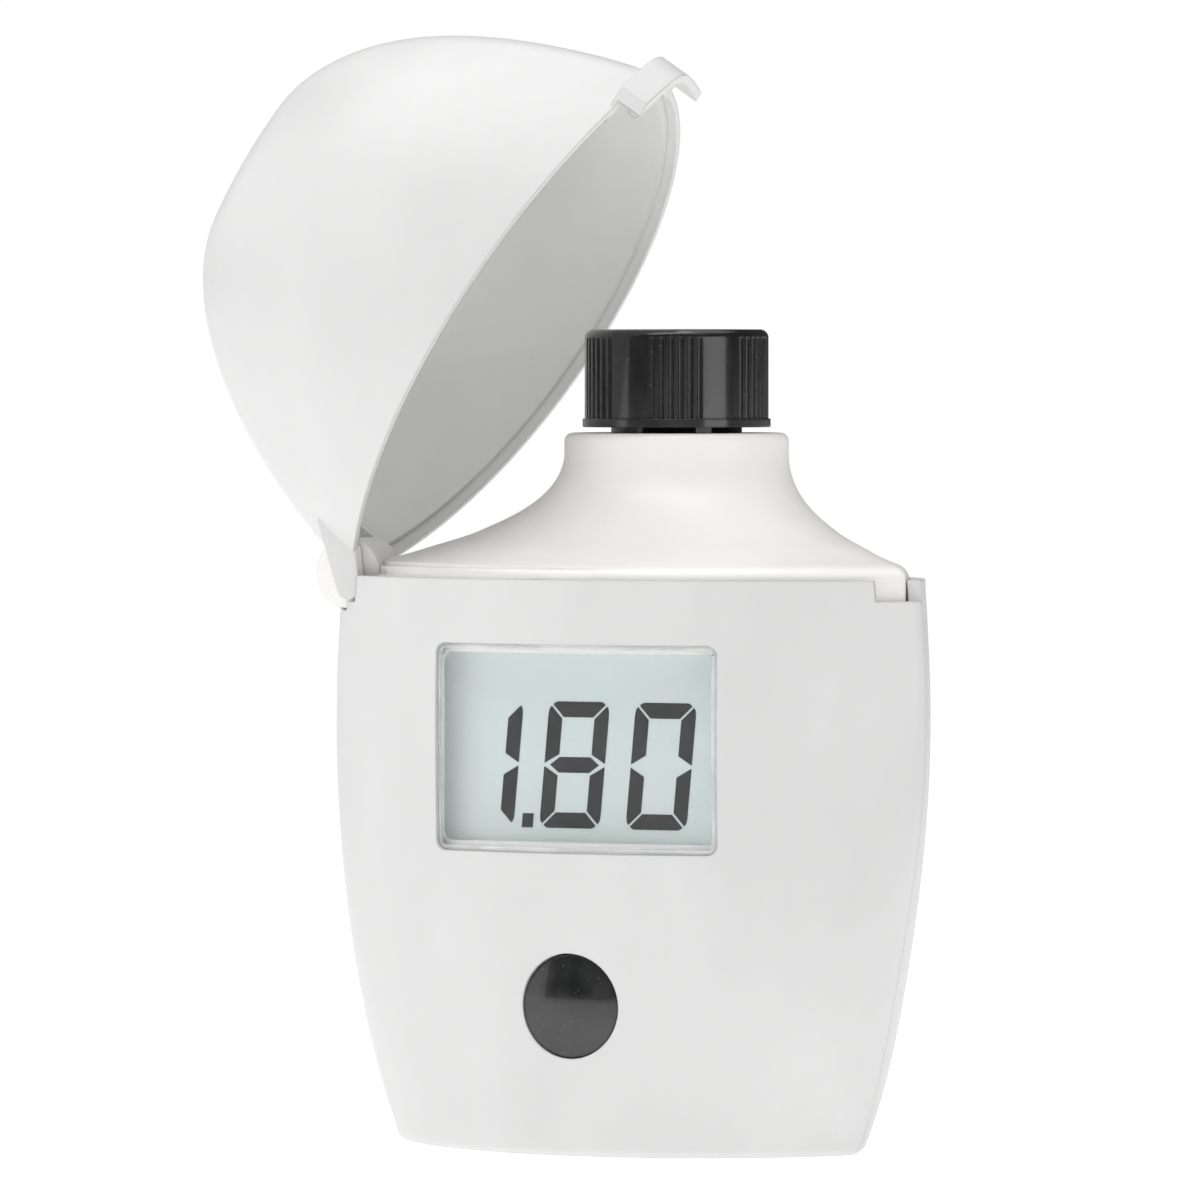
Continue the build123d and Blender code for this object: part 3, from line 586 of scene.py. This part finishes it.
class COLORIMETER_OT_cap(bpy.types.Operator):
    """Ribbed screw cap of the cuvette with its liner"""
    bl_idname = "colorimeter.cap"
    bl_label = "Cuvette cap"

    def execute(self, context):
        black = gloss_black("cap gloss", (0.010, 0.0095, 0.0098), rough=0.16,
                            edge=0.00022, streak=(1, 1, 0.25))
        fair_copy("cuvette_cap", "ribbed_cap", black, 38.0)
        liner = Finish("liner foam", Roughness=0.75)
        pores = liner.cells(0.0003)
        liner.set(Base_Color=liner.mix(pores, (0.62, 0.60, 0.54), (0.80, 0.79, 0.74)))
        liner.relief(pores, 0.00004)
        dress_node("cap_liner", liner.material)
        return {"FINISHED"}


class COLORIMETER_OT_cuvette(bpy.types.Operator):
    """Glass cuvette"""
    bl_idname = "colorimeter.cuvette"
    bl_label = "Cuvette"

    def execute(self, context):
        glass = Finish("cuvette glass", IOR=1.47, Transmission_Weight=1.0)
        x, y, z = glass.axes()
        # Painted shade: the neck's glass is coloured dark above these heights, in place of the shade under
        # the cap
        painted_neck_shade = glass.span(z, NECK_SHADE_START, NECK_SHADE_FULL)
        glass.set(Base_Color=glass.mix(painted_neck_shade, (0.96, 0.985, 0.975), (0.02, 0.022, 0.022)))
        wipe = glass.noise(0.004, 3.0, 0.6, (1, 1, 0.3))
        glass.set(Roughness=glass.span(wipe, 0.35, 0.8, 0.015, 0.07))
        glass.relief(glass.noise(0.006, 1.0), 0.000015)
        fair_copy("cuvette", "glass_cuvette", glass.material, 40.0)
        return {"FINISHED"}


class COLORIMETER_OT_optics(bpy.types.Operator):
    """Cuvette holder, lamp, filter and detector"""
    bl_idname = "colorimeter.optics"
    bl_label = "Optics"

    def execute(self, context):
        matt = plastic("holder plastic", (0.022, 0.022, 0.024), rough=0.6, grain=0.0003,
                       depth=0.00002, edge=0.0002)
        dress_node("cuvette_holder", matt)
        lamp = Finish("lamp resin", Roughness=0.12, IOR=1.55, Transmission_Weight=0.35)
        x, y, z = lamp.axes()
        lamp.set(Base_Color=lamp.mix(y < LAMP_LEADS, (0.80, 0.84, 0.88), (0.62, 0.62, 0.60)))
        lamp.relief(lamp.noise(0.001), 0.00001)
        dress_node("lamp", lamp.material)
        coat = Finish("filter coating", Roughness=0.07, Metallic=0.4, IOR=1.5)
        drift = coat.noise(0.004, 2.0)
        coat.set(Base_Color=coat.mix(drift, (0.10, 0.42, 0.36), (0.30, 0.22, 0.48)))
        dress_node("interference_filter", coat.material)
        detector = Finish("detector resin", Roughness=0.25, IOR=1.55)
        x, y, z = detector.axes()
        detector.set(Base_Color=detector.mix(y < DETECTOR_LEADS, (0.02, 0.02, 0.025), (0.60, 0.60, 0.58)))
        detector.relief(detector.noise(0.0008), 0.00001)
        dress_node("photodetector", detector.material)
        return {"FINISHED"}


class COLORIMETER_OT_circuit(bpy.types.Operator):
    """Circuit board with its chip, small parts and screws"""
    bl_idname = "colorimeter.circuit"
    bl_label = "Circuit board"

    def execute(self, context):
        board = Finish("solder mask", Roughness=0.32, IOR=1.5, Coat_Weight=0.3)
        x, y, z = board.axes()
        lanes = board.node("ShaderNodeTexBrick", {"offset": 0.35, "squash": 1.0}, {
            "Vector": board.node("ShaderNodeCombineXYZ", sockets={0: x * 1000.0, 1: z * 1000.0}),
            "Scale": 0.55, "Mortar Size": 0.035, "Brick Width": 0.9, "Row Height": 0.35}, "Fac")
        pads = board.cells(0.0024) < 0.16
        green = board.mix(lanes, (0.012, 0.11, 0.045), (0.02, 0.19, 0.075))
        board.set(Base_Color=board.mix(pads, green, (0.62, 0.50, 0.26)))
        board.set(Metallic=pads * 0.8)
        board.relief(lanes * 0.6 + pads * 0.4, 0.00003)
        dress_node("circuit_board", board.material)
        chip = plastic("chip resin", (0.018, 0.018, 0.019), rough=0.5, grain=0.00015,
                       depth=0.00001, edge=0.00008)
        dress_node("processor", chip)
        small = Finish("small parts", Roughness=0.4)
        x, y, z = small.axes()
        ends = abs(small.node("ShaderNodeMath", {"operation": "FRACT"}, {0: x * 500.0}) - 0.5) > 0.34
        body = small.mix(small.noise(0.002), (0.30, 0.22, 0.13), (0.09, 0.085, 0.08))
        small.set(Base_Color=small.mix(ends, body, (0.68, 0.68, 0.66)))
        small.set(Metallic=ends * 0.9)
        dress_node("board_parts", small.material)
        zinc = metal("zinc plate", (0.60, 0.61, 0.62), rough=0.32, stretch=(1, 0.15, 1))
        for node in ("board_screws", "holder_screws", "case_screws"):
            dress_node(node, zinc)
        return {"FINISHED"}


class COLORIMETER_OT_battery(bpy.types.Operator):
    """Battery with its two contacts"""
    bl_idname = "colorimeter.battery"
    bl_label = "Battery"

    def execute(self, context):
        low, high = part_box("battery")
        sleeve = Finish("battery sleeve", IOR=1.5)
        x, y, z = sleeve.axes()
        ends = (x < low.x + 0.0011) + (x > high.x - 0.0022)
        band = (x > high.x - 0.0125) * (x < high.x - 0.0022)
        scuff = sleeve.noise(0.0025, 4.0, 0.6)
        dark = sleeve.mix(scuff, (0.022, 0.024, 0.028), (0.045, 0.047, 0.052))
        printed = sleeve.mix(band, dark, (0.60, 0.34, 0.10))
        sleeve.set(Base_Color=sleeve.mix(ends, printed, (0.70, 0.70, 0.68)))
        sleeve.set(Metallic=ends * 1.0)
        sleeve.set(Roughness=sleeve.span(scuff, 0.3, 0.7, 0.22, 0.36))
        sleeve.relief(scuff, 0.00001)
        fair_copy("battery", "battery_cell", sleeve.material)
        nickel = metal("nickel plate", (0.72, 0.70, 0.64), rough=0.26, stretch=(1, 1, 0.15))
        for node in ("battery_spring", "battery_plate"):
            dress_node(node, nickel)
        return {"FINISHED"}


def area_light(name, place, target, size, power):
    """A rectangular light at a place, facing a target."""
    data = bpy.data.lights.new(name, "AREA")
    data.shape = "RECTANGLE"
    data.size, data.size_y = size
    data.energy = power
    light = bpy.data.objects.new(name, data)
    bpy.context.scene.collection.objects.link(light)
    light.location = place
    light.rotation_euler = (Vector(target) - Vector(place)).to_track_quat("-Z", "Y").to_euler()


class COLORIMETER_OT_stage(bpy.types.Operator):
    """Pale floor, white surround, soft lights and the camera"""
    bl_idname = "colorimeter.stage"
    bl_label = "Stage"

    def execute(self, context):
        stage = look("stage_look")
        bpy.ops.mesh.primitive_plane_add(size=6.0)
        floor = bpy.context.object
        floor.name = "floor"
        paper = Finish("floor paper", Roughness=0.95, Base_Color=tuple(stage.floor), IOR=1.1)
        paper.set(Emission_Color=(1, 1, 1), Emission_Strength=stage.glow)
        dress(floor, paper.material)
        context.scene.world = self.make_surround(stage)
        area_light("overhead", place=(-0.10, -0.12, 0.55), target=(0, 0, 0.05), size=(0.5, 0.5),
                   power=stage.key)
        area_light("left side", place=(-0.45, -0.35, 0.22), target=(0, 0, 0.06), size=(0.3, 0.45),
                   power=stage.side)
        area_light("right fill", place=(0.45, -0.12, 0.06), target=(-0.02, 0, 0.07), size=(0.25, 0.25),
                   power=stage.fill)
        context.scene.view_settings.view_transform = "Standard"
        self.place_camera(stage)
        return {"FINISHED"}

    def make_surround(self, stage):
        """White to the camera, even in its light, and dark with two soft boxes in reflections."""
        surround = Surround("white surround")
        rays = surround.outputs("ShaderNodeLightPath")
        direction = surround.node("ShaderNodeTexCoord", output="Generated")
        ways = surround.outputs("ShaderNodeSeparateXYZ", {0: direction})
        above = surround.span(ways["Z"], 0.72, 0.86)
        left = surround.span(ways["X"], -0.86, -0.76, 1.0, 0.0) * surround.span(ways["Z"], 0.02, 0.1)
        mirrored = (above + left) * stage.boxes + stage.shine
        glossy, camera = rays["Is Glossy Ray"], rays["Is Camera Ray"]
        light = glossy * mirrored + (1.0 - glossy) * stage.world
        surround.set(Color=(1, 1, 1), Strength=camera + (1.0 - camera) * light)
        return surround.world

    def place_camera(self, stage):
        """Sees the object at the photograph's angle, size and place in the frame."""
        turn, rise = stage.azimuth, stage.rise
        back = Vector((sin(turn) * cos(rise), -cos(turn) * cos(rise), sin(rise)))
        right = Vector((cos(turn), sin(turn), 0))
        up = back.cross(right)
        middle = PHOTO_SIZE / 2
        across = (OBJECT_COLUMN - middle) / PIXELS_PER_MM * MM
        drop = (OBJECT_ROW - middle) / PIXELS_PER_MM * MM
        data = bpy.data.cameras.new("camera")
        data.sensor_width = SENSOR_WIDTH
        data.lens = SENSOR_WIDTH * stage.distance / MM * PIXELS_PER_MM / PHOTO_SIZE
        data.clip_start = 0.05
        data.clip_end = 20.0
        camera = bpy.data.objects.new("camera", data)
        bpy.context.scene.collection.objects.link(camera)
        place = Vector((0, 0, OBJECT_HEIGHT)) + stage.distance * back - right * across + up * drop
        camera.matrix_world = Matrix.Translation(place) @ Matrix((right, up, back)).transposed().to_4x4()
        bpy.context.scene.camera = camera


class COLORIMETER_PT_panel(bpy.types.Panel):
    """Lists the pieces of the colorimeter"""
    bl_label = "Colorimeter"
    bl_idname = "COLORIMETER_PT_panel"
    bl_space_type = "VIEW_3D"
    bl_region_type = "UI"
    bl_category = "Colorimeter"

    def draw(self, context):
        for group in SETTINGS:
            box = self.layout.box()
            for name in group.__annotations__:
                box.prop(getattr(context.scene, SETTINGS[group]), name)
        for operator in OPERATORS:
            self.layout.operator(operator.bl_idname)


SETTINGS = {CasingLook: "casing_look", DisplayLook: "display_look", StageLook: "stage_look"}
OPERATORS = (
    COLORIMETER_OT_stage, COLORIMETER_OT_casing, COLORIMETER_OT_insert, COLORIMETER_OT_lid,
    COLORIMETER_OT_window, COLORIMETER_OT_display, COLORIMETER_OT_button, COLORIMETER_OT_cap,
    COLORIMETER_OT_cuvette, COLORIMETER_OT_optics, COLORIMETER_OT_circuit, COLORIMETER_OT_battery,
)


def register():
    for kind in (*SETTINGS, *OPERATORS, COLORIMETER_PT_panel):
        bpy.utils.register_class(kind)
    for group, name in SETTINGS.items():
        setattr(bpy.types.Scene, name, PointerProperty(type=group))


def unregister():
    for name in SETTINGS.values():
        delattr(bpy.types.Scene, name)
    for kind in reversed((*SETTINGS, *OPERATORS, COLORIMETER_PT_panel)):
        bpy.utils.unregister_class(kind)


def main():
    register()
    for operator in OPERATORS:
        group, action = operator.bl_idname.split(".")
        getattr(getattr(bpy.ops, group), action)()


if __name__ == "__main__":
    main()
